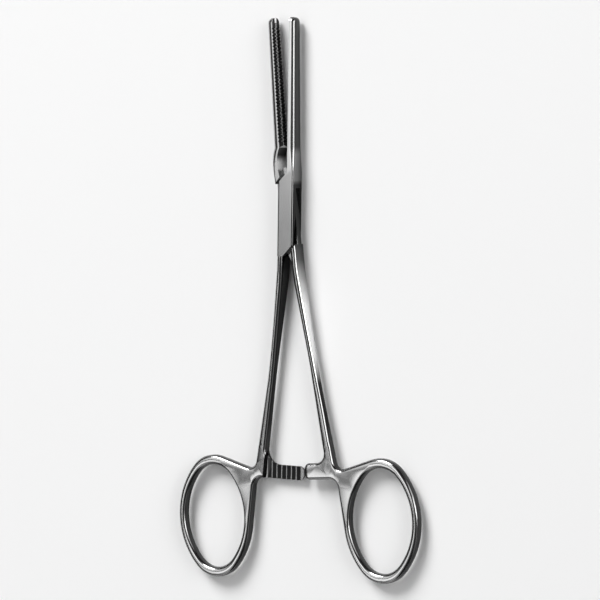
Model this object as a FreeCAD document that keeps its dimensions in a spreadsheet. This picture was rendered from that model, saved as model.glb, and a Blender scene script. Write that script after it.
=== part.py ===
# A ring-handled, box-lock atraumatic vascular clamp, 160 mm long, lying flat.
# Frame: +Y runs from the pivot to the jaws, +Z is up, +X is to the right as seen from above.
# The origin is on the pivot axis, on the underside of the box lock.
import FreeCAD, Part
import math
import os
import Sketcher
from collections import Counter
from FreeCAD import Placement, Rotation, Vector

doc = FreeCAD.newDocument("Clamp")

# Driving dimensions in millimetres and degrees
SIZES = {
    # Box lock: its rounding stays clear of the shank's, so that no two surfaces nearly meet
    "box_wide": 5.4,
    "box_thick": 5.2,
    "box_round": 0.8,
    "shoulder_side": 8.5,
    "shoulder_core": 12.0,
    "core_offset": 0.6,
    "slot_end": 7.4,
    "slot_thick": 2.2,
    "tongue_play": 0.1,
    "shoulder_play": 0.12,
    "pin_wide": 2.4,
    "pin_play": 0.03,
    "pin_head": 0.35,
    "rest_opening": 5.8,
    # Neck and jaws
    "heel_reach": 19.0,
    "tip_reach": 55.9,
    "heel_gap": 0.4,
    "tip_gap": 0.06,
    "heel_deep": 2.35,
    "tip_deep": 1.9,
    "heel_wide": 4.7,
    "tip_wide": 3.8,
    "heel_round": 1.9,
    "tip_round": 1.5,
    "nose_round": 1.4,
    "neck_reach": 15.4,
    "neck_bow": 0.65,
    "neck_round": 1.3,
    "neck_root": 7.5,
    "scoop_foot": 1.15,
    "scoop_deep": 1.4,
    # Tooth rows
    "row_pitch": 1.0,
    "row_tooth_deep": 0.28,
    "groove_wide": 0.8,
    "groove_deep": 0.4,
    "ridge_wide": 0.5,
    "ridge_high": 0.3,
    "row_margin": 1.4,
    # Shank
    "outer_bend_y": 15.0,
    "outer_bend_round": 80.0,
    "root_top": 7.5,
    "outer_waist_x": 5.1,
    "outer_waist_y": 41.0,
    "outer_waist_round": 600.0,
    "inner_bend_x": 0.75,
    "inner_bend_y": 17.5,
    "inner_bend_round": 60.0,
    "waist_thick": 2.6,
    "waist_y": 44.0,
    "waist_round": 150.0,
    "thin_start": 16.3,
    "thin_start_round": 160.0,
    "thin_end": 66.0,
    "thin_end_round": 100.0,
    "edge_round": 0.9,
    # Finger ring
    "ring_x": 23.5,
    "ring_y": 88.2,
    "ring_lean": 3.0,
    "ring_thick": 3.1,
    "opening_wide": 20.1,
    "opening_long": 29.9,
    "opening_round": 7.2,
    "band_side": 2.25,
    "band_end": 2.75,
    "band_round": 9.0,
    "web_x": 9.9,
    "web_y": 73.9,
    "web_round": 2.4,
    # Ratchet
    "bar_top": 71.9,
    "bar_low": 75.9,
    "bar_root_x": 7.03,
    "bar_under_x": 9.95,
    "bar_under_round": 2.8,
    "bar_crook": 4.2,
    "bar_crook_tight": 2.8,
    "bar_extra": 0.7,
    "bar_tip_long": 6.1,
    "bar_tip_short": 0.55,
    "bar_tip_round": 1.5,
    "bar_gap": 0.12,
    "bar_clear": 1.5,
    "catch_pitch": 1.63,
    "catch_deep": 0.55,
    "catch_start": 6.2,
    "catch_land": 0.24,
    "bar_tip_land": 0.6,
}

sheet = doc.addObject("Spreadsheet::Sheet", "Sizes")
for row, (name, size) in enumerate(SIZES.items(), start=1):
    sheet.set(f"A{row}", name)
    sheet.set(f"B{row}", str(size))
    sheet.setAlias(f"B{row}", name)
doc.recompute()

SEAM = 1e-4


# Formulas

def linked(formula):
    """The formula with each size's name pointed at the sheet."""
    text = str(formula)
    for name in SIZES:
        text = text.replace(f"[{name}]", f"Sizes.{name}")
    return text


def value(formula):
    """What a formula gives with the sizes as they are."""
    return float(sheet.evalExpression(linked(formula)))


# Sketches

def plane_of(body, role):
    return [part for part in body.Origin.OriginFeatures if part.Role == role][0]


def new_sketch(body, name, role, lift=None):
    """A sketch on one of the body's own planes, lifted off it by a formula where one is given."""
    sketch = body.newObject("Sketcher::SketchObject", name)
    sketch.AttachmentSupport = (plane_of(body, role), [""])
    sketch.MapMode = "FlatFace"
    if lift is not None:
        sketch.AttachmentOffset = Placement(Vector(0, 0, value(lift)), Rotation())
        sketch.setExpression("AttachmentOffset.Base.z", linked(lift))
    return sketch


def bind(sketch, kind, *target, formula):
    """One dimension of a sketch, tied to the sheet."""
    index = sketch.addConstraint(Sketcher.Constraint(kind, *target, value(formula)))
    sketch.setExpression(f"Constraints[{index}]", linked(formula))


class Corner:
    """Where two straight edges of an outline meet, sharp or rounded."""

    def __init__(self, x, y, radius=None):
        self.place = (x, y)
        self.radius = radius
        self.point = Vector(value(x), value(y), 0)


class Hub:
    """A round stretch of an outline about a known centre; turn is 1 where the outline runs
    anticlockwise round it and -1 where it runs clockwise. Its ties say which ways its centre
    is held, because one that is smooth with its neighbours finds the rest by itself."""

    def __init__(self, x, y, radius, turn, ties="xy"):
        self.place = (x, y)
        self.radius = radius
        self.turn = turn
        self.ties = ties
        self.point = Vector(value(x), value(y), 0)
        self.size = value(radius)


def touch_point(point, hub, leaving):
    """Where the straight edge between a point and a hub touches the hub."""
    reach = hub.point - point
    lean = math.acos(hub.size / reach.Length)
    side = -hub.turn if leaving else hub.turn
    angle = math.atan2(-reach.y, -reach.x) + side * lean
    return hub.point + Vector(math.cos(angle), math.sin(angle), 0) * hub.size


def link_points(first, second):
    """The two ends of the straight edge between two members, or the one point where hubs meet."""
    if isinstance(first, Hub) and isinstance(second, Hub):
        small, large = sorted((first, second), key=lambda hub: hub.size)
        away = (small.point - large.point).normalize()
        meet = large.point + away * large.size
        return meet, meet
    start = touch_point(second.point, first, True) if isinstance(first, Hub) else first.point
    end = touch_point(first.point, second, False) if isinstance(second, Hub) else second.point
    return start, end


def arc_about(centre, radius, start, end, turn):
    """The arc from start to end about a centre, run the way that turn says."""
    first, last = (start, end) if turn > 0 else (end, start)
    from_angle = math.atan2(first.y - centre.y, first.x - centre.x)
    to_angle = math.atan2(last.y - centre.y, last.x - centre.x)
    circle = Part.Circle(centre, Vector(0, 0, 1), radius)
    return Part.ArcOfCircle(circle, from_angle, to_angle)


class Run:
    """One drawn edge, with the numbers of the ends where the outline enters and leaves it."""

    def __init__(self, index, entry, leave):
        self.index = index
        self.entry = entry
        self.leave = leave


def draw_straight(sketch, start, end):
    return Run(sketch.addGeometry(Part.LineSegment(start, end)), 1, 2)


def draw_round(sketch, centre, radius, start, end, turn):
    index = sketch.addGeometry(arc_about(centre, radius, start, end, turn))
    return Run(index, 1, 2) if turn > 0 else Run(index, 2, 1)


def rounded_corner(corner, before, after):
    """Centre, ends and turn of the arc that rounds a corner."""
    radius = value(corner.radius)
    back = (before - corner.point).normalize()
    ahead = (after - corner.point).normalize()
    half = back.getAngle(ahead) / 2
    reach = radius / math.tan(half)
    middle = (back + ahead).normalize()
    centre = corner.point + middle * (radius / math.sin(half))
    turn = 1 if back.cross(ahead).z < 0 else -1
    return centre, radius, corner.point + back * reach, corner.point + ahead * reach, turn


def outline(sketch, members):
    """Draws a closed outline and ties each corner, radius and centre to the sheet."""
    count = len(members)
    links = [link_points(members[i], members[(i + 1) % count]) for i in range(count)]
    arcs = []
    for i, member in enumerate(members):
        arrive = links[i - 1]
        depart = links[i]
        if isinstance(member, Hub):
            arcs.append((member.point, member.size, arrive[1], depart[0], member.turn))
        elif member.radius is None:
            arcs.append(None)
        else:
            arcs.append(rounded_corner(member, arrive[0], depart[1]))
    drawn = []
    for i, member in enumerate(members):
        following = (i + 1) % count
        start = arcs[i][3] if arcs[i] else member.point
        end = arcs[following][2] if arcs[following] else members[following].point
        if arcs[i]:
            drawn.append((member, draw_round(sketch, *arcs[i])))
        if not (isinstance(member, Hub) and isinstance(members[following], Hub)):
            drawn.append((None, draw_straight(sketch, start, end)))
    join_runs(sketch, drawn)
    tie_members(sketch, members, drawn)


def join_runs(sketch, drawn):
    """Joins each edge to the next, smoothly where one of them is round."""
    for i, (member, run) in enumerate(drawn):
        other, following = drawn[(i + 1) % len(drawn)]
        kind = "Coincident" if member is None and other is None else "Tangent"
        ends = (run.index, run.leave, following.index, following.entry)
        sketch.addConstraint(Sketcher.Constraint(kind, *ends))


def tie_members(sketch, members, drawn):
    """Ties corners, hub centres and radii to their formulas."""
    rounds = {id(member): run for member, run in drawn if member is not None}
    straights = [i for i, (member, run) in enumerate(drawn) if member is None]
    for member in members:
        x, y = member.place
        run = rounds.get(id(member))
        if isinstance(member, Hub):
            if "x" in member.ties:
                bind(sketch, "DistanceX", run.index, 3, formula=x)
            if "y" in member.ties:
                bind(sketch, "DistanceY", run.index, 3, formula=y)
            bind(sketch, "Radius", run.index, formula=member.radius)
        elif run is not None:
            mark = sketch.addGeometry(Part.Point(member.point), True)
            place = [i for i, (owner, drawn_run) in enumerate(drawn) if drawn_run is run][0]
            for neighbour in (place - 1, (place + 1) % len(drawn)):
                edge = drawn[neighbour][1].index
                sketch.addConstraint(Sketcher.Constraint("PointOnObject", mark, 1, edge))
            bind(sketch, "DistanceX", mark, 1, formula=x)
            bind(sketch, "DistanceY", mark, 1, formula=y)
            bind(sketch, "Radius", run.index, formula=member.radius)
        else:
            starts = [drawn[i][1] for i in straights
                      if sketch.getPoint(drawn[i][1].index, 1).distanceToPoint(member.point) < SEAM]
            bind(sketch, "DistanceX", starts[0].index, 1, formula=x)
            bind(sketch, "DistanceY", starts[0].index, 1, formula=y)


# Features

def tie(feature, prop, formula):
    setattr(feature, prop, value(formula))
    feature.setExpression(prop, linked(formula))


def pad(body, sketch, name, length, middle=True, back=False):
    feature = body.newObject("PartDesign::Pad", name)
    feature.Profile = sketch
    feature.Midplane = middle
    feature.Reversed = back
    tie(feature, "Length", length)
    sketch.Visibility = False
    doc.recompute()
    return feature


def pocket(body, sketch, name, length, middle=True, back=False):
    """Cuts a sketch out of the body, and checks that it took something away."""
    volume = body.Shape.Volume
    feature = body.newObject("PartDesign::Pocket", name)
    feature.Profile = sketch
    feature.Midplane = middle
    feature.Reversed = back
    tie(feature, "Length", length)
    doc.recompute()
    if not body.Shape.Volume < volume - SEAM:
        raise RuntimeError(f"{name} cuts nothing")
    return feature


def dress(body, kind, name, prop, size, pick):
    """A fillet or chamfer on the edges that are picked from the body's shape so far."""
    tip = body.Tip
    picked = pick(tip.Shape)
    names = [f"Edge{i}" for i, edge in enumerate(tip.Shape.Edges, start=1)
             if any(edge.isSame(other) for other in picked)]
    feature = body.newObject(kind, name)
    feature.Base = (tip, names)
    tie(feature, prop, size)
    doc.recompute()
    return feature


def fillet(body, name, radius, pick):
    return dress(body, "PartDesign::Fillet", name, "Radius", radius, pick)


# Shares of a rounding's radius that leave three even facets round a square edge
FIRST_FACET = 0.731
NEXT_FACETS = 0.269


def facet_round(body, name, radius, pick):
    """Rounds long rims with three narrow facets each, which is far lighter than a fillet."""
    dress(body, "PartDesign::Chamfer", f"{name}First", "Size", f"{FIRST_FACET} * {radius}", pick)
    dress(body, "PartDesign::Chamfer", f"{name}Next", "Size", f"{NEXT_FACETS} * {radius}",
          facet_borders)


def middle_normal(face):
    first_u, last_u, first_v, last_v = face.ParameterRange
    return face.normalAt((first_u + last_u) / 2, (first_v + last_v) / 2)


def facet_borders(shape):
    """The long borders of the sloping facets, clear of the root's end."""
    facets = [face for face in shape.Faces if 0.35 < abs(middle_normal(face).z) < 0.93]
    end = max(shape.Vertexes, key=lambda corner: corner.Y).Y
    shared = Counter(edge.hashCode() for face in facets for edge in face.Edges)
    return [edge for face in facets for edge in face.Edges
            if shared[edge.hashCode()] == 1 and edge.CenterOfMass.y < end - SEAM]


# Shank and finger ring

def ring_point(along, across, sign):
    """Formulas of a point of the finger ring: along its long axis, and across it, outward."""
    lean = "[ring_lean] * 1 deg"
    x = f"{sign} * ([ring_x] + ({along}) * sin({lean}) + ({across}) * cos({lean}))"
    y = f"-[ring_y] + ({along}) * cos({lean}) - ({across}) * sin({lean})"
    return x, y


def oval(half_wide, half_long, end_round, sign, turn, near_ties=""):
    """The four arcs of an oval: top, far side, bottom and near side."""
    side_round = (f"(({half_wide})^2 + (({half_long}) - ({end_round}))^2 - ({end_round})^2)"
                  f" / (2 * (({half_wide}) - ({end_round})))")
    end_reach = f"({half_long}) - ({end_round})"
    side_reach = f"({side_round}) - ({half_wide})"
    return [
        Hub(*ring_point(end_reach, "0", sign), end_round, turn),
        Hub(*ring_point("0", f"-({side_reach})", sign), side_round, turn, ""),
        Hub(*ring_point(f"-({end_reach})", "0", sign), end_round, turn),
        Hub(*ring_point("0", side_reach, sign), side_round, turn, near_ties),
    ]


def inner_edge(reach):
    """Formula of the shank's straight inner edge at a reach behind the pivot."""
    slope = "([bar_root_x] - [inner_bend_x]) / ([bar_low] - [inner_bend_y])"
    return f"([inner_bend_x] + {slope} * (({reach}) - [inner_bend_y]))"


class Bar:
    """One half of the ratchet: sign is its shank's side, level 1 the upper layer and -1 the
    lower, and tip how far it reaches past the middle plane."""

    def __init__(self, sign, level, tip, top, crook):
        self.sign = sign
        self.level = level
        self.tip = tip
        self.top = top
        self.crook = crook


LOWER_BAR = Bar(-1, -1, "[bar_tip_long]", "[bar_top]", "[bar_crook]")
UPPER_BAR = Bar(1, 1, "[bar_tip_short]", "([bar_top] - [bar_extra])", "[bar_crook_tight]")


def shank_outline(sketch, bar):
    """The shank, the finger ring, the web between them and the ratchet bar, seen from above."""
    sign = bar.sign
    turn = -sign
    rim = oval("[opening_wide] / 2 + [band_side]", "[opening_long] / 2 + [band_end]",
               "[band_round]", sign, turn, "x")
    outline(sketch, [
        Corner(f"{sign} * [box_wide] / 2", "-[root_top]"),
        Corner(f"{sign} * [box_wide] / 2", "-[outer_bend_y]", "[outer_bend_round]"),
        Corner(f"{sign} * [outer_waist_x]", "-[outer_waist_y]", "[outer_waist_round]"),
        Corner(f"{sign} * [web_x]", "-[web_y]", "[web_round]"),
        *rim,
        Corner(f"{sign} * [bar_under_x]", "-[bar_low]", "[bar_under_round]"),
        Corner(f"-{sign} * {bar.tip}", "-[bar_low]", "[bar_tip_round]"),
        Corner(f"-{sign} * {bar.tip}", f"-{bar.top}", "[bar_tip_round]"),
        Corner(f"{sign} * {inner_edge(bar.top)}", f"-{bar.top}", bar.crook),
        Corner(f"{sign} * [inner_bend_x]", "-[inner_bend_y]", "[inner_bend_round]"),
        Corner(f"{sign} * [core_offset]", "-[root_top]"),
    ])
    outline(sketch, oval("[opening_wide] / 2", "[opening_long] / 2", "[opening_round]", sign, turn))


def thinning_outline(sketch, side):
    """What is taken off one face of the shank: its edge is the shank's profile from the side."""
    outline(sketch, [
        Corner("-[ring_y] - [opening_long]", f"{side} * [ring_thick] / 2"),
        Corner("-[thin_end]", f"{side} * [ring_thick] / 2", "[thin_end_round]"),
        Corner("-[waist_y]", f"{side} * [waist_thick] / 2", "[waist_round]"),
        Corner("-[thin_start]", f"{side} * [box_thick] / 2", "[thin_start_round]"),
        Corner("[root_top]", f"{side} * [box_thick] / 2"),
        Corner("[root_top]", f"{side} * [box_thick]"),
        Corner("-[ring_y] - [opening_long]", f"{side} * [box_thick]"),
    ])


def is_wall(face):
    """True for a face that stands straight up."""
    surface = face.Surface
    if isinstance(surface, Part.Plane):
        return abs(surface.Axis.z) < SEAM
    return isinstance(surface, Part.Cylinder) and abs(surface.Axis.z) > 1 - SEAM


def rim_edges(shape):
    """The long edges between the walls and the two flat sides, clear of the root's end."""
    walls = [face for face in shape.Faces if is_wall(face)]
    ends = [face for face in walls if face.normalAt(0, 0).y > 0.3]
    end = max(ends, key=lambda face: face.CenterOfMass.y)
    wall_edges = [edge for face in walls if face is not end for edge in face.Edges]
    upright = [edge for edge in wall_edges if abs(edge.tangentAt(edge.FirstParameter).z) > 0.99]
    return [edge for edge in wall_edges
            if not any(edge.isSame(other) for other in upright)
            and not any(edge.isSame(other) for other in end.Edges)]


def shank(body, bar):
    sketch = new_sketch(body, "ShankOutline", "XY_Plane")
    shank_outline(sketch, bar)
    doc.recompute()
    pad(body, sketch, "ShankBlank", "[box_thick]")
    thinning = new_sketch(body, "ShankThinning", "YZ_Plane")
    thinning_outline(thinning, 1)
    thinning_outline(thinning, -1)
    doc.recompute()
    pocket(body, thinning, "ShankTaper", "4 * [ring_x]")
    facet_round(body, "ShankRounding", "[edge_round]", rim_edges)


# Box lock

def turned(point):
    """The same point, half a turn round the pivot."""
    x, y = point
    return f"-({x})", f"-({y})"


def half_turn_outline(sketch, points):
    """A closed outline of points and of the same points half a turn further on."""
    corners = [Corner(*point) for point in points]
    outline(sketch, corners + [Corner(*turned(point)) for point in points])


def box_block(body):
    """The female half's box: sloping shoulders where the male half comes out, square elsewhere."""
    sketch = new_sketch(body, "BoxOutline", "XY_Plane")
    half_turn_outline(sketch, [
        ("-[box_wide] / 2", "[shoulder_side]"),
        ("[core_offset]", "[shoulder_core]"),
        ("[box_wide] / 2", "[shoulder_core]"),
    ])
    doc.recompute()
    pad(body, sketch, "BoxBlock", "[box_thick]")
    fillet(body, "BoxRounding", "[box_round]", box_edges)


def box_edges(shape):
    """The four long outer edges of the box."""
    side = value("[box_wide] / 2")
    face = value("[box_thick] / 2")
    return [edge for edge in shape.Edges
            if isinstance(edge.Curve, Part.Line)
            and abs(edge.tangentAt(0).y) > 1 - SEAM
            and abs(abs(edge.CenterOfMass.x) - side) < SEAM
            and abs(abs(edge.CenterOfMass.z) - face) < SEAM]


def slot(body):
    """The way through the box for the tongue, open at both sides."""
    sketch = new_sketch(body, "SlotOutline", "XY_Plane")
    half_turn_outline(sketch, [
        ("-[box_wide]", "[shoulder_core]"),
        ("[core_offset]", "[shoulder_core]"),
        ("[box_wide] / 2", "[slot_end]"),
        ("[box_wide]", "[slot_end]"),
    ])
    doc.recompute()
    pocket(body, sketch, "Slot", "[slot_thick]")


# The slot's sloping end, carried on from the box's corner to the middle plane
SLOT_END_RUN = "([core_offset] / ([box_wide] / 2 - [core_offset]))"
SLOT_END_RISE = "([shoulder_core] - [slot_end])"


def tongue(body):
    """The male half's thin middle, which fills the slot when the jaws are shut."""
    sketch = new_sketch(body, "TongueOutline", "XY_Plane")
    half_turn_outline(sketch, [
        ("-[box_wide] / 2", "[shoulder_side] + [box_wide] / 2"),
        ("-[shoulder_play]", f"[shoulder_core] + {SLOT_END_RUN} * {SLOT_END_RISE}"),
        ("[box_wide] / 2", "[slot_end] - 3 * [shoulder_play]"),
    ])
    doc.recompute()
    pad(body, sketch, "Tongue", "[slot_thick] - 2 * [tongue_play]")


def lock_relief(body):
    """Room for the two walls of the box, from one sloping shoulder to the other."""
    slope = "(([shoulder_core] - [shoulder_side]) / ([box_wide] / 2 + [core_offset]))"
    for name, back in (("ReliefAbove", True), ("ReliefBelow", False)):
        side = 1 if back else -1
        sketch = new_sketch(body, f"{name}Outline", "XY_Plane",
                            f"{side} * ([slot_thick] / 2 - [tongue_play])")
        half_turn_outline(sketch, [
            ("-1.5 * [box_wide]",
             f"[shoulder_side] - [box_wide] * {slope} + 2 * [shoulder_play]"),
            ("1.5 * [box_wide]",
             f"[shoulder_side] + 2 * [box_wide] * {slope} + 2 * [shoulder_play]"),
        ])
        doc.recompute()
        pocket(body, sketch, name, "[box_thick]", middle=False, back=back)


def turn_about(body, sketch, name, kind):
    """A revolved solid or cut about the pivot."""
    feature = body.newObject(kind, name)
    feature.Profile = sketch
    feature.ReferenceAxis = (sketch, ["V_Axis"])
    feature.Angle = 360
    doc.recompute()
    return feature


def pin_outline(sketch):
    """Half of the pin: straight through the tongue, with a flush countersunk head each end."""
    end = "[box_thick] / 2"
    outline(sketch, [
        Corner("0", f"-{end}"),
        Corner("[pin_wide] / 2 + [pin_head]", f"-{end}"),
        Corner("[pin_wide] / 2", f"-{end} + [pin_head]"),
        Corner("[pin_wide] / 2", f"{end} - [pin_head]"),
        Corner("[pin_wide] / 2 + [pin_head]", end),
        Corner("0", end),
    ])


def pin_seat(body):
    sketch = new_sketch(body, "PinSeatOutline", "XZ_Plane")
    pin_outline(sketch)
    doc.recompute()
    turn_about(body, sketch, "PinSeat", "PartDesign::Groove")


def pin_bore(body):
    sketch = new_sketch(body, "PinBoreOutline", "XZ_Plane")
    edge = "[pin_wide] / 2 + [pin_play]"
    outline(sketch, [
        Corner("0", "-[box_thick]"),
        Corner(edge, "-[box_thick]"),
        Corner(edge, "[box_thick]"),
        Corner("0", "[box_thick]"),
    ])
    doc.recompute()
    turn_about(body, sketch, "PinBore", "PartDesign::Groove")


# Necks and jaws

def section(body, name, side, reach, face, back, wide, rounding):
    """Across a jaw or neck: flat towards the other jaw, rounded at the back."""
    sketch = new_sketch(body, name, "XZ_Plane", f"-({reach})")
    outline(sketch, [
        Corner(f"{side} * ({face})", f"-({wide}) / 2"),
        Corner(f"{side} * ({face})", f"({wide}) / 2"),
        Corner(f"{side} * ({back})", f"({wide}) / 2", rounding),
        Corner(f"{side} * ({back})", f"-({wide}) / 2", rounding),
    ])
    doc.recompute()
    return sketch


def loft(body, name, sections, ruled):
    feature = body.newObject("PartDesign::AdditiveLoft", name)
    feature.Profile = sections[0]
    feature.Sections = sections[1:]
    feature.Ruled = ruled
    doc.recompute()
    return feature


def heel_section(body, name, side):
    return section(body, name, side, "[heel_reach]", "[heel_gap]", "[heel_gap] + [heel_deep]",
                   "[heel_wide]", "[heel_round]")


def straight_neck(body, side):
    """The female half's neck: the box narrows evenly into the jaw."""
    loft(body, "Neck", [
        section(body, "NeckFoot", side, "[shoulder_core]", "[core_offset]", "[box_wide] / 2",
                "[box_thick]", "[box_round]"),
        heel_section(body, "NeckHeel", side),
    ], True)


def bowed_neck(body, side):
    """The male half's neck: it bows out round the gap behind the jaws."""
    loft(body, "Neck", [
        section(body, "NeckFoot", side, "[neck_root]", "[core_offset] / 2", "[box_wide] / 2",
                "[box_thick]", "[box_round]"),
        section(body, "NeckRise", side, "[shoulder_core]", "[scoop_foot]",
                "[box_wide] / 2 + [neck_bow] / 2", "(3 * [box_thick] + [heel_wide]) / 4",
                "[neck_round] / 2"),
        section(body, "NeckBow", side, "[neck_reach]", "[scoop_deep]",
                "[box_wide] / 2 + [neck_bow]", "([box_thick] + [heel_wide]) / 2", "[neck_round]"),
        heel_section(body, "NeckHeel", side),
    ], False)


def jaw(body, side):
    loft(body, "Jaw", [
        heel_section(body, "JawHeel", side),
        section(body, "JawTip", side, "[tip_reach]", "[tip_gap]", "[tip_gap] + [tip_deep]",
                "[tip_wide]", "[tip_round]"),
    ], True)
    fillet(body, "Nose", "[nose_round]", nose_edges)


def nose_edges(shape):
    """The end of the jaw, except where it meets the flat face."""
    reach = value("[tip_reach]")
    face = value("[tip_gap]")
    return [edge for edge in shape.Edges
            if edge.BoundBox.YMin > reach - SEAM
            and abs(edge.CenterOfMass.x) > face + SEAM]


# Tooth rows

def face_x(side, reach, depth):
    """Formula of a line along a jaw's flat face, sunk into it by a depth."""
    slope = "(([heel_gap] - [tip_gap]) / ([tip_reach] - [heel_reach]))"
    return f"{side} * ([heel_gap] - (({reach}) - [heel_reach]) * {slope} + ({depth}))"


def face_strip(body, name, side, high, low):
    """A strip along the jaw's face, from one depth to another, in plan."""
    sketch = new_sketch(body, name, "XY_Plane")
    start = "[heel_reach] + [row_margin] / 2"
    end = "[tip_reach] - [row_margin]"
    outline(sketch, [
        Corner(face_x(side, start, high), start),
        Corner(face_x(side, end, high), end),
        Corner(face_x(side, end, low), end),
        Corner(face_x(side, start, low), start),
    ])
    doc.recompute()
    return sketch


def tooth_notches(body, side, top, wide):
    """A row of V notches along the jaw's face, which leaves fine blunt teeth."""
    sketch = new_sketch(body, "RowNotch", "XY_Plane")
    start = "[heel_reach] + [row_margin]"
    middle = f"{start} + 0.4 * [row_pitch]"
    end = f"{start} + 0.8 * [row_pitch]"
    outline(sketch, [
        Corner(face_x(side, start, f"{top} - 0.05"), start),
        Corner(face_x(side, end, f"{top} - 0.05"), end),
        Corner(face_x(side, middle, f"{top} + [row_tooth_deep]"), middle),
    ])
    heel = Vector(value(face_x(side, "[heel_reach]", "0")), value("[heel_reach]"), 0)
    tip = Vector(value(face_x(side, "[tip_reach]", "0")), value("[tip_reach]"), 0)
    line = sketch.addGeometry(Part.LineSegment(heel, tip), True)
    for end_number, reach in ((1, "[heel_reach]"), (2, "[tip_reach]")):
        bind(sketch, "DistanceX", line, end_number, formula=face_x(side, reach, "0"))
        bind(sketch, "DistanceY", line, end_number, formula=reach)
    doc.recompute()
    notch = pocket(body, sketch, "RowNotchCut", wide)
    span = value("[tip_reach] - [heel_reach] - 2 * [row_margin] - [row_pitch]")
    count = int(span / value("[row_pitch]"))
    repeat(body, "Rows", notch, (sketch, ["Axis0"]), "[row_pitch]", count)


def repeat(body, name, feature, direction, pitch, count):
    pattern = body.newObject("PartDesign::LinearPattern", name)
    pattern.Originals = [feature]
    pattern.Direction = direction
    pattern.Occurrences = count
    tie(pattern, "Length", f"{pitch} * {count - 1}")
    body.Tip = pattern
    doc.recompute()
    return pattern


def double_row(body, side):
    """Two rows of teeth with a groove between them."""
    notch_wide = "2 * [heel_wide]"
    tooth_notches(body, side, "0", notch_wide)
    groove = face_strip(body, "GrooveStrip", side, "-[groove_deep]", "[groove_deep]")
    pocket(body, groove, "Groove", "[groove_wide]")


def single_row(body, side):
    """One raised row of teeth that lies in the other jaw's groove."""
    ridge = face_strip(body, "RidgeStrip", side, "-[ridge_high]", "[ridge_high]")
    pad(body, ridge, "Ridge", "[ridge_wide]")
    tooth_notches(body, side, "-[ridge_high]", "2 * [ridge_wide]")


# Ratchet

def ratchet(body, bar):
    """Halves the bar's thickness, so that the bars pass over each other, and cuts its teeth."""
    sketch = new_sketch(body, "BarRelief", "XY_Plane", f"{bar.level} * [bar_gap] / 2")
    start = f"({bar.top} - 1.5 * {bar.crook})"
    end = "([bar_low] + [bar_clear])"
    outline(sketch, [
        Corner(f"{bar.sign} * {inner_edge(start)}", f"-{start}"),
        Corner(f"-{bar.sign} * ({bar.tip} + [bar_clear])", f"-{start}"),
        Corner(f"-{bar.sign} * ({bar.tip} + [bar_clear])", f"-{end}"),
        Corner(f"{bar.sign} * {inner_edge(end)}", f"-{end}"),
    ])
    doc.recompute()
    pocket(body, sketch, "BarHalving", "[ring_thick]", middle=False, back=bar.level < 0)
    catch_teeth(body, bar)


def catch_teeth(body, bar):
    """The saw teeth of one ratchet bar, steep on the side away from its own shank."""
    sketch = new_sketch(body, "CatchNotch", "XZ_Plane", f"({bar.top} + [bar_low]) / 2")
    top = f"{bar.level} * [bar_gap] / 2"
    above = f"{top} - {bar.level} * [bar_gap] / 4"
    end = f"{bar.sign} * ([catch_start] - [catch_pitch] + [catch_land])"
    outline(sketch, [
        Corner(f"{bar.sign} * [catch_start]", above),
        Corner(end, f"{top} + {bar.level} * [catch_deep]"),
        Corner(end, above),
    ])
    doc.recompute()
    notch = pocket(body, sketch, "CatchNotchCut", f"2 * ([bar_low] - {bar.top})")
    span = value(f"[catch_start] + {bar.tip} - [bar_tip_land]")
    count = int(span / value("[catch_pitch]"))
    pattern = repeat(body, "Catch", notch, (sketch, ["H_Axis"]), "[catch_pitch]", count)
    pattern.Reversed = bar.sign > 0
    doc.recompute()


# The three pieces

def female_half():
    body = doc.addObject("PartDesign::Body", "box_half")
    shank(body, LOWER_BAR)
    ratchet(body, LOWER_BAR)
    box_block(body)
    straight_neck(body, 1)
    jaw(body, 1)
    slot(body)
    pin_seat(body)
    single_row(body, 1)
    return body


def male_half():
    body = doc.addObject("PartDesign::Body", "male_half")
    shank(body, UPPER_BAR)
    ratchet(body, UPPER_BAR)
    bowed_neck(body, -1)
    tongue(body)
    lock_relief(body)
    jaw(body, -1)
    pin_bore(body)
    double_row(body, -1)
    return body


def pivot_pin():
    body = doc.addObject("PartDesign::Body", "pivot_pin")
    sketch = new_sketch(body, "PinOutline", "XZ_Plane")
    pin_outline(sketch)
    doc.recompute()
    turn_about(body, sketch, "Pin", "PartDesign::Revolution")
    return body


def settle(body, share):
    """Lays a piece on the ground, swung out by its share of the opening at rest."""
    body.Placement = Placement(Vector(0, 0, 0), Rotation(Vector(0, 0, 1), 1))
    body.setExpression("Placement.Base.z", linked("[box_thick] / 2"))
    body.setExpression("Placement.Rotation.Angle", linked(f"{share} * [rest_opening]"))


def check_and_write(bodies):
    doc.recompute()
    for item in doc.Objects:
        if any(word in item.State for word in ("Invalid", "Error")):
            raise RuntimeError(f"{item.Label} is {item.State}")
    for body in bodies:
        if body.Shape.isNull() or not body.Shape.isValid() or len(body.Shape.Solids) != 1:
            raise RuntimeError(f"{body.Label} has no single sound solid")
    os.makedirs("parts", exist_ok=True)
    for body in bodies:
        body.Shape.exportStep(f"parts/{body.Label}.step")
        box = body.Shape.optimalBoundingBox()
        print(f"{body.Label}: {body.Shape.Volume:.1f} mm3, {len(body.Shape.Faces)} faces, "
              f"x {box.XMin:.2f} to {box.XMax:.2f}, y {box.YMin:.2f} to {box.YMax:.2f}, "
              f"z {box.ZMin:.2f} to {box.ZMax:.2f}")


female = female_half()
male = male_half()
pin = pivot_pin()
settle(female, -0.5)
settle(male, 0.5)
settle(pin, -0.5)
check_and_write([female, male, pin])
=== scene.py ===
# %% [markdown]
# # A vascular clamp in polished steel
#
# The real object is a surgical clamp: two steel forgings that cross in a box lock, a pin
# through them, a finger ring on each shank and a ratchet between the shanks. Its shape
# comes exact from the CAD model. This lesson gives it its surface, its light and its camera.

from math import cos, radians, sin

import bpy
from mathutils import Matrix, Vector


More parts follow.
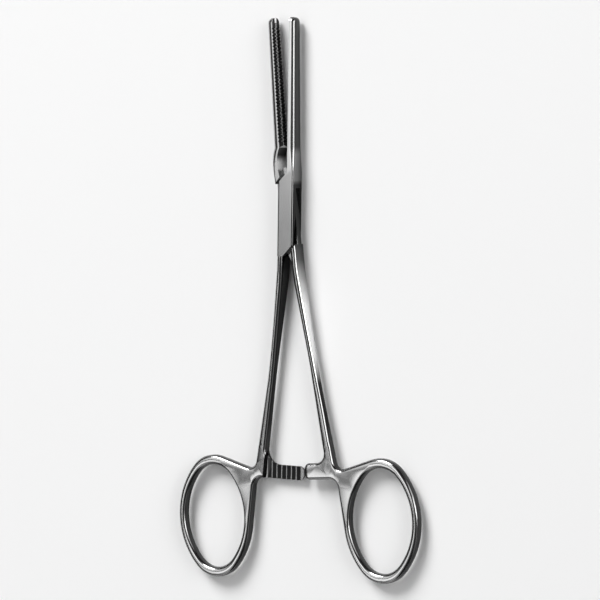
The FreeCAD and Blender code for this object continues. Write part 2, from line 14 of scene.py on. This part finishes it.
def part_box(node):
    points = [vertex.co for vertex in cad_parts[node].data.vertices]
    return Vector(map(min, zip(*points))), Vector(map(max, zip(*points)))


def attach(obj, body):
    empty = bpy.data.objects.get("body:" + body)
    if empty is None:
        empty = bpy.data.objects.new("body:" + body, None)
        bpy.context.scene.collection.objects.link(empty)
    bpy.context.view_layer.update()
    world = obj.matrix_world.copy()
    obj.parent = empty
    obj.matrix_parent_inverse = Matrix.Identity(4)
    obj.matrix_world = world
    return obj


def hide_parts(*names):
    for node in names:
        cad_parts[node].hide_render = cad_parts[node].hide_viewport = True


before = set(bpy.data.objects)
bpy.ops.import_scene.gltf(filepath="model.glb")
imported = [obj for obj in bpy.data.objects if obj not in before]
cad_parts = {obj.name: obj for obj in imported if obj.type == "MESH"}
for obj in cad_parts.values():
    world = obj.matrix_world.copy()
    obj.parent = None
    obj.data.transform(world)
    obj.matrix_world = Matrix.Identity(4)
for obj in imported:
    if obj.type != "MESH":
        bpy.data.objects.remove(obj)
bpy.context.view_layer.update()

MM = 0.001

# %% [markdown]
# ## The camera
#
# The photograph looks down on the flat of the clamp from its right side, from about a
# metre away, so it has almost no perspective. A long lens at that distance gives the same
# flat look. The pivot of the box lock is the anchor: the camera is aimed so that the pivot
# falls where the photograph has it.

# %% Where the photograph is taken from
SIDEWAYS = radians(32)
RAISED = radians(2)
LEAN = radians(1.62)
DISTANCE = 0.95
PICTURE_PIXELS = 600
METRES_PER_PIXEL = 0.2847 * MM
PIVOT_PIXEL = Vector((289.5, 214))
SENSOR_WIDE = 36
NEAREST_SEEN = 0.05

lock_low, lock_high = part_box("pivot_pin")
pivot = (lock_low + lock_high) / 2

towards = Vector((sin(SIDEWAYS) * cos(RAISED), sin(RAISED), cos(SIDEWAYS) * cos(RAISED)))
level_right = Vector((0, 1, 0)).cross(towards).normalized()
level_up = towards.cross(level_right)
right = level_right * cos(LEAN) - level_up * sin(LEAN)
up = level_up * cos(LEAN) + level_right * sin(LEAN)

aside = (PIVOT_PIXEL.x - PICTURE_PIXELS / 2) * METRES_PER_PIXEL
above = (PICTURE_PIXELS / 2 - PIVOT_PIXEL.y) * METRES_PER_PIXEL
centre = pivot - right * aside - up * above
print("the view's middle:", [round(value, 4) for value in centre])

# %% Aim the camera


def turned(right_way, up_way, back_way):
    """The rotation whose axes point right, up and back."""
    return Matrix((right_way, up_way, back_way)).transposed().to_4x4()


bpy.ops.object.camera_add()
camera = bpy.context.object
camera.name = "PhotoCamera"
camera.matrix_world = Matrix.Translation(centre + towards * DISTANCE) @ turned(right, up, towards)
camera.data.sensor_width = SENSOR_WIDE
camera.data.lens = SENSOR_WIDE * DISTANCE / (PICTURE_PIXELS * METRES_PER_PIXEL)
camera.data.clip_start = NEAREST_SEEN
bpy.context.scene.camera = camera
print(f"lens {camera.data.lens:.0f} mm at {DISTANCE} m")

# %% [markdown]
# ## Writing shader maths as Python
#
# A material is a graph of nodes. Wrapping a socket in a small class lets `1 - mask * 0.5`
# add its Math nodes by itself, so a finish reads like a formula.

# %% A socket that does arithmetic


class Value:
    """One output socket, with the operators that the finishes use."""

    def __init__(self, graph, socket):
        self.graph = graph
        self.socket = socket

    def math(self, operation, first, second):
        return self.graph.node("Math", {"operation": operation}, {0: first, 1: second})

    def __add__(self, other):
        return self.math("ADD", self, other)

    def __radd__(self, other):
        return self.math("ADD", other, self)

    def __mul__(self, other):
        return self.math("MULTIPLY", self, other)

    def __rmul__(self, other):
        return self.math("MULTIPLY", other, self)

    def __sub__(self, other):
        return self.math("SUBTRACT", self, other)

    def __rsub__(self, other):
        return self.math("SUBTRACT", other, self)


# %% A graph that adds nodes


def grey(shade):
    return (shade, shade, shade, 1)


class Graph:
    """The nodes of one material, or of the world."""

    def __init__(self, owner):
        owner.use_nodes = True
        self.tree = owner.node_tree
        self.tree.nodes.clear()

    def node(self, kind, settings=None, inputs=None, output=0):
        """Adds a node: its settings first, then the values or links of its sockets."""
        made = self.tree.nodes.new("ShaderNode" + kind)
        for name, setting in (settings or {}).items():
            if name == "stops":
                self.set_stops(made.color_ramp, setting)
            else:
                setattr(made, name, setting)
        for name, given in (inputs or {}).items():
            if isinstance(given, Value):
                self.tree.links.new(given.socket, made.inputs[name])
            else:
                made.inputs[name].default_value = given
        return Value(self, made.outputs[output]) if made.outputs else None

    def part(self, vector, letter):
        """One part of a vector: X, Y or Z."""
        return self.node("SeparateXYZ", inputs={"Vector": vector}, output=letter)

    def noise(self, vector, scale, detail):
        return self.node("TexNoise", inputs={"Vector": vector, "Scale": scale, "Detail": detail})

    def ramp(self, along, stops):
        """Greys by their place from 0 to 1 along a value."""
        return self.node("ValToRGB", {"stops": stops}, {"Fac": along})

    def set_stops(self, ramp, stops):
        while len(ramp.elements) < len(stops):
            ramp.elements.new(0.5)
        for element, (place, shade) in zip(ramp.elements, stops):
            element.position = place
            element.color = grey(shade)


# %% [markdown]
# ## Polished surgical steel
#
# Instruments are forged, ground and then polished to a soft shine. Up close the shine is
# not even: it has a fine grain along the piece, cloudy patches where fingers and trays
# have touched it, and the odd hairline. Each of these is a noise at its own scale, in
# Object coordinates. They change only the roughness and the bump, not the colour.
#
# The photograph shows the upright sides nearly black, with a few bright places, because
# they mirror a dark studio. Here they mirror the pale floor, and a dark floor would spoil
# the picture. So the colour of the steel carries a painted shade where it stands upright,
# with painted reflections at a few places, and each half lists how bright its sides are painted along the
# clamp.

# %% How bright the upright sides are painted, painted shade and painted reflections, in millimetres along the clamp
SIDES_FROM, SIDES_TO = -110, 60
MALE_PAINTED_SIDES = [(-110, 0.05), (-64, 0.04), (-60, 0.01), (-48, 0.02), (-40, 0.85), (-26, 0.95),
              (-13, 0.12), (-7, 0.04), (9.0, 0.05), (11.5, 0.95), (14.8, 0.95), (16.5, 0.03),
              (20, 0.05), (60, 0.07)]
BOX_PAINTED_SIDES = [(-110, 0.05), (-64, 0.04), (-60, 0.02), (-7, 0.02), (8.5, 0.03), (9.5, 0.22), (17, 0.22),
             (19, 0.06), (60, 0.07)]
ROW_PAINTED_SHADE = [(-110, 0.015), (-64, 0.012), (16.5, 0.009), (20, 0.015), (60, 0.021)]
GROOVE_PAINTED_HIGHLIGHT = [(16.5, 0.42), (20, 0.70), (60, 0.98)]

UPRIGHT_UNTIL, FLAT_FROM = 0.45, 0.96


def painted_side_stops(sides):
    """The same brightnesses, with their places as shares of the clamp's length."""
    return [((place - SIDES_FROM) / (SIDES_TO - SIDES_FROM), shade) for place, shade in sides]


def steel_colour_with_painted_sides(graph, place, shade, sides):
    """The grey of the flats, blended into the painted shade and painted reflections of the upright sides."""
    length = SIDES_TO - SIDES_FROM
    share = graph.part(place, "Y") * (1 / (length * MM)) - SIDES_FROM / length
    # Upright faces take the painted shade and painted reflections of the side list, flat ones the steel's
    # grey.
    facing_up = graph.part(graph.node("NewGeometry", output="Normal"), "Z")
    level = graph.node("Math", {"operation": "ABSOLUTE"}, {0: facing_up})
    flat = graph.ramp(level, [(UPRIGHT_UNTIL, 0), (FLAT_FROM, 1)])
    mix_share, mix_first, mix_second, mix_result = 0, 6, 7, 2
    return graph.node("Mix", {"data_type": "RGBA"}, {
        mix_share: flat, mix_first: graph.ramp(share, painted_side_stops(sides)), mix_second: grey(shade)},
        output=mix_result)


print("side lists:", len(MALE_PAINTED_SIDES), len(BOX_PAINTED_SIDES), len(ROW_PAINTED_SHADE), len(GROOVE_PAINTED_HIGHLIGHT), "places")

# %% The steel finish
CLOUD_SCALE, CLOUD_DETAIL, CLOUD_ROUGH = 140, 3, 0.08
GRAIN_SCALE, GRAIN_DETAIL, GRAIN_ROUGH, GRAIN_HIGH = 5200, 2, 0.06, 0.6
HAIRLINE_SCALE, HAIRLINE_DETAIL, HAIRLINE_ROUGH, HAIRLINE_HIGH = 900, 4, 0.03, 0.4
HAIRLINE_FROM, HAIRLINE_FULL = 0.62, 0.66
NOISE_MEAN = 0.5
STRETCH_ALONG = (1, 0.12, 1)
BUMP_STRENGTH, BUMP_DEEP = 0.05, 0.02 * MM


def steel(name, shade, sides, shine):
    """Polished steel: shade is the grey of its flats, sides the painted shade and painted reflections of its
    upright sides along the clamp, and shine its mean roughness."""
    material = bpy.data.materials.new(name)
    graph = Graph(material)
    place = graph.node("TexCoord", output="Object")
    along = graph.node("Mapping", inputs={"Vector": place, "Scale": STRETCH_ALONG})
    clouds = graph.noise(place, CLOUD_SCALE, CLOUD_DETAIL)
    grain = graph.noise(along, GRAIN_SCALE, GRAIN_DETAIL)
    scratches = graph.noise(along, HAIRLINE_SCALE, HAIRLINE_DETAIL)
    hairline = graph.ramp(scratches, [(HAIRLINE_FROM, 0), (HAIRLINE_FULL, 1)])
    roughness = (shine + (clouds - NOISE_MEAN) * CLOUD_ROUGH + (grain - NOISE_MEAN) * GRAIN_ROUGH
                 + hairline * HAIRLINE_ROUGH)
    bump = graph.node("Bump", inputs={"Strength": BUMP_STRENGTH, "Distance": BUMP_DEEP,
                                      "Height": grain * GRAIN_HIGH + hairline * HAIRLINE_HIGH})
    shader = graph.node("BsdfPrincipled", inputs={
        "Base Color": steel_colour_with_painted_sides(graph, place, shade, sides), "Metallic": 1.0,
        "Roughness": roughness, "Normal": bump})
    graph.node("OutputMaterial", inputs={"Surface": shader})
    return material


# The side lists paint shade and reflections into the colour of the upright sides of both halves and the pin.
box_steel = steel("BoxHalfSteel", shade=0.58, sides=BOX_PAINTED_SIDES, shine=0.14)
male_steel = steel("MaleHalfSteel", shade=0.58, sides=MALE_PAINTED_SIDES, shine=0.14)
pin_steel = steel("PinSteel", shade=0.57, sides=BOX_PAINTED_SIDES, shine=0.15)
# Painted shade: the tooth rows and the ratchet slopes are painted near black.
painted_shade_steel = steel("ToothRowPaintedShade", shade=0.10, sides=ROW_PAINTED_SHADE, shine=0.30)
# Painted highlight: the groove between the tooth rows is painted near white.
painted_highlight_steel = steel("GroovePaintedHighlight", shade=0.95, sides=GROOVE_PAINTED_HIGHLIGHT, shine=0.25)
print("finishes:", [finish.name for finish in (box_steel, male_steel, pin_steel, painted_shade_steel, painted_highlight_steel)])

# %% [markdown]
# ## Smooth skins over the CAD solids
#
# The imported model's triangles are loose, so light would break at each of them. Each piece
# gets a copy whose corners are merged and whose shading is smooth wherever the real
# surface is round, with the true edges kept sharp.

# %% Skin each piece
MERGE_WITHIN = 0.001 * MM
SHARP_ANGLE = radians(32)


def deselect_all():
    bpy.ops.object.select_all(action="DESELECT")


def choose(piece):
    """Makes a piece the only one selected, and the active one."""
    deselect_all()
    piece.select_set(True)
    bpy.context.view_layer.objects.active = piece


def skin(node, body, material):
    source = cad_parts[node]
    piece = source.copy()
    piece.data = source.data.copy()
    piece.parent = None
    piece.name = node + "_skin"
    bpy.context.scene.collection.objects.link(piece)
    choose(piece)
    bpy.ops.object.mode_set(mode="EDIT")
    bpy.ops.mesh.select_all(action="SELECT")
    bpy.ops.mesh.remove_doubles(threshold=MERGE_WITHIN)
    bpy.ops.object.mode_set(mode="OBJECT")
    bpy.ops.mesh.customdata_custom_splitnormals_clear()
    bpy.ops.object.shade_smooth_by_angle(angle=SHARP_ANGLE)
    piece.data.materials.clear()
    piece.data.materials.append(material)
    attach(piece, body)
    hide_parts(node)
    deselect_all()
    print(piece.name, len(piece.data.polygons), "faces")
    return piece


box_skin = skin("box_half", "box_half", box_steel)
male_skin = skin("male_half", "male_half", male_steel)
pin_skin = skin("pivot_pin", "box_half", pin_steel)

# %% [markdown]
# ## The ratchet teeth and the flats
#
# The ratchet's teeth lean as little as the facets of the roundings do, so an angle can't
# tell them apart, and their ridges are marked sharp by their place. The broad flats have
# the other trouble: their corners take part of their direction from the roundings beside
# them, and a mirror shows that as a dent. Weighted by area, the flats win at each corner.

# %% Sharp ratchet teeth
LAYER_TOP = 2.54 * MM
TOOTH_DEEP = 0.55 * MM
SLACK = 0.02 * MM
RATCHET_LOW = (-11 * MM, -77 * MM, LAYER_TOP - TOOTH_DEEP)
RATCHET_HIGH = (2.5 * MM, -70 * MM, LAYER_TOP)


def sharpen(piece, low, high):
    """Marks the edges sharp that lie wholly between two corners."""
    choose(piece)
    mesh = piece.data
    bpy.ops.object.mode_set(mode="EDIT")
    bpy.ops.mesh.select_mode(type="EDGE")
    bpy.ops.mesh.select_all(action="DESELECT")
    bpy.ops.object.mode_set(mode="OBJECT")
    chosen = 0
    for edge in mesh.edges:
        ends = [mesh.vertices[number].co for number in edge.vertices]
        edge.select = all(low[i] - SLACK < end[i] < high[i] + SLACK for end in ends for i in range(3))
        chosen += edge.select
    bpy.ops.object.mode_set(mode="EDIT")
    bpy.ops.mesh.mark_sharp()
    bpy.ops.mesh.select_mode(type="VERT")
    bpy.ops.object.mode_set(mode="OBJECT")
    deselect_all()
    print(piece.name, chosen, "sharp edges")


sharpen(box_skin, RATCHET_LOW, RATCHET_HIGH)

# %% Even shading of the flats
AREA_WEIGHT = 50


def even_flats(piece):
    """Weights the shading by face area, so the broad flats stay flat up to their roundings."""
    choose(piece)
    bpy.ops.object.modifier_add(type="WEIGHTED_NORMAL")
    evening = piece.modifiers[-1]
    evening.keep_sharp = True
    evening.weight = AREA_WEIGHT
    bpy.ops.object.modifier_apply(modifier=evening.name)
    deselect_all()
    print(piece.name, "evened")


for piece in (box_skin, male_skin, pin_skin):
    even_flats(piece)

# %% [markdown]
# ## Places with painted shade and a painted highlight
#
# The gripping face of the left jaw is painted dark on its two rows of teeth, a painted shade,
# and painted bright in the groove between them, a painted highlight. The slopes of the ratchet
# teeth are painted dark between bright ridges, a painted shade too. A second material on the
# same piece needs no seam: its faces are picked by place and direction.

# %% Painted shade and painted highlight of the teeth
MIDDLE = 2.6 * MM
GROOVE_HALF = 0.4 * MM
FACE_HEEL = Vector((-1.36, 19.0)) * MM
FACE_TIP = Vector((-2.89, 55.6)) * MM
GRIP_NEAR = 0.6 * MM
GRIP_TURN, GRIP_TILT = 0.2, 0.3
SLOPE_TURN, SLOPE_SIDE = 0.15, 0.3


def paint_light_and_shade_on_faces(piece, material, belongs):
    """Gives a material of their own, here a painted shade or a painted highlight, to the faces that
    belongs(centre, normal) picks.
    """
    piece.data.materials.append(material)
    number = len(piece.data.materials) - 1
    chosen = 0
    for face in piece.data.polygons:
        if belongs(face.center, face.normal):
            face.material_index = number
            chosen += 1
    print(piece.name, chosen, "faces in", material.name)


def on_grip(centre, normal):
    """True on the left jaw's gripping face and in its notches."""
    share = (centre.y - FACE_HEEL.y) / (FACE_TIP.y - FACE_HEEL.y)
    face_x = FACE_HEEL.x + (FACE_TIP.x - FACE_HEEL.x) * share
    return (0 < share < 1 and abs(centre.x - face_x) < GRIP_NEAR
            and normal.x > GRIP_TURN and abs(normal.z) < GRIP_TILT)


def in_groove(centre, normal):
    return on_grip(centre, normal) and abs(centre.z - MIDDLE) < GROOVE_HALF


def on_ratchet(centre, normal):
    """True on the sloping flanks of the ratchet teeth."""
    return (RATCHET_LOW[0] < centre.x < RATCHET_HIGH[0] and RATCHET_LOW[1] < centre.y < RATCHET_HIGH[1]
            and RATCHET_LOW[2] - SLACK < centre.z < RATCHET_HIGH[2] - SLACK
            and abs(normal.x) > SLOPE_TURN and abs(normal.y) < SLOPE_SIDE)


# Painted shade on the tooth rows and ratchet slopes, and a painted highlight in the groove.
paint_light_and_shade_on_faces(male_skin, painted_shade_steel, on_grip)
paint_light_and_shade_on_faces(male_skin, painted_highlight_steel, in_groove)
paint_light_and_shade_on_faces(box_skin, painted_shade_steel, on_ratchet)

# %% [markdown]
# ## Floor and lamp
#
# The clamp lies on a plain pale floor, wide enough that no view sees its end. One soft lamp
# stands far off past the jaws, on the left. It lights the floor to about its own colour, and
# from there the flats don't mirror it towards the camera, so it draws only a few highlights
# on the rings.

# %% Floor
FLOOR_WIDE = 12
FLOOR_SHADE, FLOOR_ROUGH, FLOOR_GLOSS = 0.96, 0.9, 0.1

bpy.ops.mesh.primitive_plane_add(size=FLOOR_WIDE, location=(0, 0, 0))
floor = bpy.context.object
floor.name = "Floor"
floor_finish = bpy.data.materials.new("PaleFloor")
graph = Graph(floor_finish)
plain = graph.node("BsdfPrincipled", inputs={
    "Base Color": grey(FLOOR_SHADE), "Roughness": FLOOR_ROUGH, "Specular IOR Level": FLOOR_GLOSS})
graph.node("OutputMaterial", inputs={"Surface": plain})
floor.data.materials.append(floor_finish)
print(floor.name, FLOOR_WIDE, "m wide, shade", FLOOR_SHADE)

# %% Lamp
LAMP_SPOT = (-0.9, 2.25, 1.8)
LAMP_WIDE, LAMP_TALL = 1.4, 1.4
LAMP_POWER = 85


def soft_light(name, spot, wide, tall, power):
    """A rectangular lamp that faces the middle of the clamp, its tall side along the clamp."""
    bpy.ops.object.light_add(type="AREA")
    lamp = bpy.context.object
    lamp.name = name
    lamp.data.shape = "RECTANGLE"
    lamp.data.size = wide
    lamp.data.size_y = tall
    lamp.data.energy = power
    back = (Vector(spot) - centre).normalized()
    side = Vector((0, 1, 0)).cross(back).normalized()
    lamp.matrix_world = Matrix.Translation(spot) @ turned(side, back.cross(side), back)
    print(name, power, "W")


soft_light("KeyLight", LAMP_SPOT, LAMP_WIDE, LAMP_TALL, LAMP_POWER)

# %% [markdown]
# ## The room
#
# Polished steel has no colour of its own: it shows the room. The room is a dome with bands
# of light that run along the clamp. Across them, 0 is the left horizon, 0.5 straight up and
# 1 the right horizon. Seen from the right, the flats mirror the band at about 0.24, which
# gives them their mid grey. What leans left mirrors the dark horizon there and gets a dark
# outline. What leans right mirrors the dark stretch behind the camera, and the edges beyond
# it catch the narrow bright strip low on the right.
#
# Along the clamp, 0 is the horizon past the rings and 1 the one past the jaws. A camera
# this near sees each part of the clamp at its own angle, so the flats mirror places from
# 0.43 at the rings to 0.52 at the jaws. The tapered shanks lean and mirror 0.42. The dome
# is brighter for the rings, the taper and the jaws, and dark in between, so that a shank
# runs from grey to nearly white to dark.

# %% Bands across the clamp


def zero_to_one(value):
    """From a part of a direction, -1 to 1, to a place from 0 to 1."""
    return value * 0.5 + 0.5


world = bpy.data.worlds.new("StudioDome")
bpy.context.scene.world = world
room = Graph(world)
direction = room.node("TexCoord", output="Generated")
across = zero_to_one(room.part(direction, "X"))
along = zero_to_one(room.part(direction, "Y"))

bands = room.ramp(across, [(0.0, 0.02), (0.15, 0.02), (0.21, 0.29), (0.235, 0.34), (0.40, 0.50),
                           (0.48, 0.45), (0.54, 0.03), (1.0, 0.03)])
edge_strip = room.ramp(across, [(0.84, 0.0), (0.88, 1.5), (0.94, 1.5), (0.98, 0.05)])
on_left = room.ramp(across, [(0.14, 0.0), (0.20, 1.0), (0.28, 1.0), (0.40, 0.0)])
print("bands across the clamp:", world.name)

# %% Bands along the clamp
RING_GAIN = 5
JAW_GAIN = 2.5

past_rings = room.ramp(along, [(0.432, 0.2), (0.452, 1.0)])
ring_end = room.ramp(along, [(0.30, 0.12), (0.36, 0.8), (0.425, 0.9), (0.441, 0.8), (0.447, 0.25),
                             (0.453, 0.02), (0.464, 0.04), (0.478, 0.2), (1.0, 0.2)])
jaw_end = room.ramp(along, [(0.495, 0.0), (0.515, 1.0), (0.60, 1.0), (0.70, 0.1)])

at_jaws = 1 + jaw_end * JAW_GAIN
glow = room.node("Background", inputs={
    "Color": grey(1),
    "Strength": bands * (at_jaws + on_left * (ring_end * RING_GAIN - 1)) + edge_strip * past_rings * at_jaws})
room.node("OutputWorld", inputs={"Surface": glow})
bpy.context.scene.view_settings.view_transform = "Standard"
print("the room has", len(world.node_tree.nodes), "nodes")
